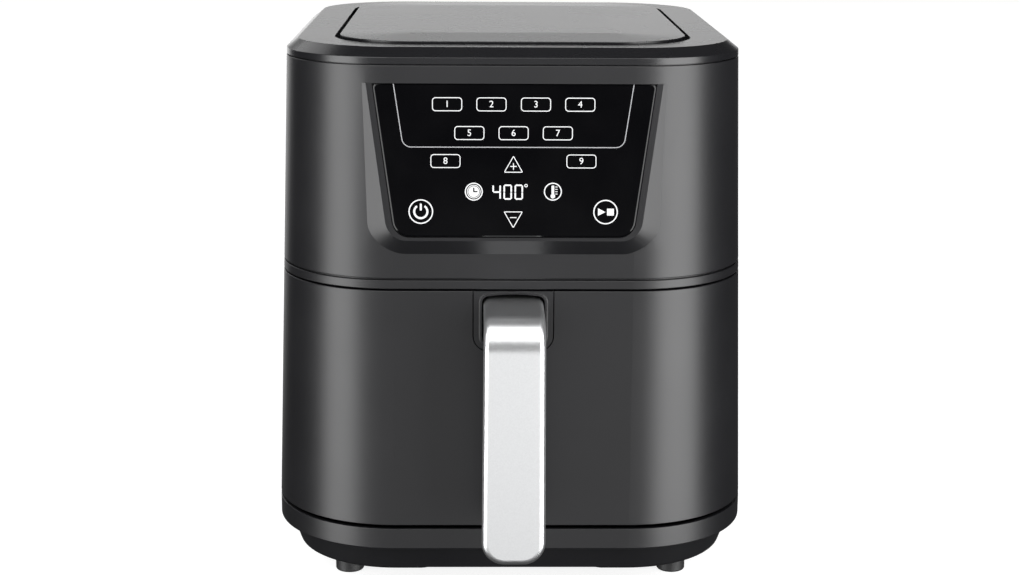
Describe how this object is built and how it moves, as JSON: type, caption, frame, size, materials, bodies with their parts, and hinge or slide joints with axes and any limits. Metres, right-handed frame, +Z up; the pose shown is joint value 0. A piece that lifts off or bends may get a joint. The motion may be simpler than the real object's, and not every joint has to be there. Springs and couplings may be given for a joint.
{
  "type": "air fryer",
  "caption": "Countertop basket air fryer: charcoal drafted body, raised touch console, pull-out drawer with a bent silver handle, basket, crisper plate and hot-air fan",
  "frame": {"origin": "Middle of the overall outline, on the floor plane under the feet", "axes": "X to the right as seen from the front, Y from the handle towards the back, Z up"},
  "size_m": [0.278, 0.381, 0.3178],
  "materials": {
    "charcoal_plastic": "satin moulded",
    "black_plastic": "fine-grained moulded",
    "touch_glass": "back-printed, polished",
    "satin_silver": "satin, clear lacquered",
    "rubber": "moulded",
    "silicone": "moulded silicone",
    "nonstick_steel": "non-stick coated",
    "sheet_steel": "pressed sheet",
    "plated_steel": "zinc plated",
    "element_steel": "heat-darkened tube",
    "fan_aluminium": "stamped",
    "ceramic": "glazed ceramic",
    "diffuser": "milky moulded",
    "circuit_board": "solder mask",
    "motor_steel": "galvanised shell",
    "relay_plastic": "moulded case",
    "winding_tape": "wrapped core",
    "capacitor_sleeve": "shrunk sleeve",
    "magnet_nickel": "nickel plated"
  },
  "bodies": {
    "housing": {"base": "charcoal_plastic", "foot_front_left": "rubber", "foot_front_right": "rubber", "foot_rear_left": "rubber", "foot_rear_right": "rubber", "foot_screws": "plated_steel", "lower_housing": "charcoal_plastic", "cord_gland": "rubber", "mid_frame": "charcoal_plastic", "upper_housing": "charcoal_plastic", "control_glass": "touch_glass", "light_guide": "diffuser", "display_board": "circuit_board", "rear_grille": "charcoal_plastic", "top_cover": "charcoal_plastic", "top_panel": "charcoal_plastic", "chamber_liner": "sheet_steel", "left_rail": "sheet_steel", "right_rail": "sheet_steel", "heater_hood": "sheet_steel", "exhaust_duct": "black_plastic", "element_guard": "plated_steel", "heating_element": "element_steel", "element_bushes": "ceramic", "motor_bracket": "sheet_steel", "motor_bush": "fan_aluminium", "motor": "motor_steel", "motor_screws": "plated_steel", "power_board": "circuit_board", "relay": "relay_plastic", "transformer": "winding_tape", "capacitor": "capacitor_sleeve", "temperature_sensor": "plated_steel", "thermal_fuse": "ceramic", "reed_switch": "black_plastic"},
    "fan": {"fan_shaft": "plated_steel", "hot_air_fan": "fan_aluminium", "fan_nut": "plated_steel", "cooling_fan": "fan_aluminium"},
    "drawer": {"drawer_front": "charcoal_plastic", "drawer_back": "black_plastic", "escutcheon": "charcoal_plastic", "handle_cover": "satin_silver", "handle_core": "black_plastic", "handle_screws": "plated_steel", "pan_hanger": "sheet_steel", "basket": "nonstick_steel", "drawer_magnet": "magnet_nickel"},
    "crisper": {"crisper_plate": "nonstick_steel", "crisper_bumper_1": "silicone", "crisper_bumper_2": "silicone", "crisper_bumper_3": "silicone", "crisper_bumper_4": "silicone"}
  },
  "joints": [
    {"name": "drawer_slide", "type": "slide", "parent": "housing", "child": "drawer", "axis": [0, -1, 0], "range_m": [0, 0.28]},
    {"name": "crisper_lift", "type": "slide", "parent": "drawer", "child": "crisper", "axis": [0, 0, 1], "range_m": [0, 0.11]},
    {"name": "fan_spin", "type": "hinge", "parent": "housing", "child": "fan", "pos_m": [0, 0.0115, 0.21], "axis": [0, 0, 1], "continuous": true}
  ]
}
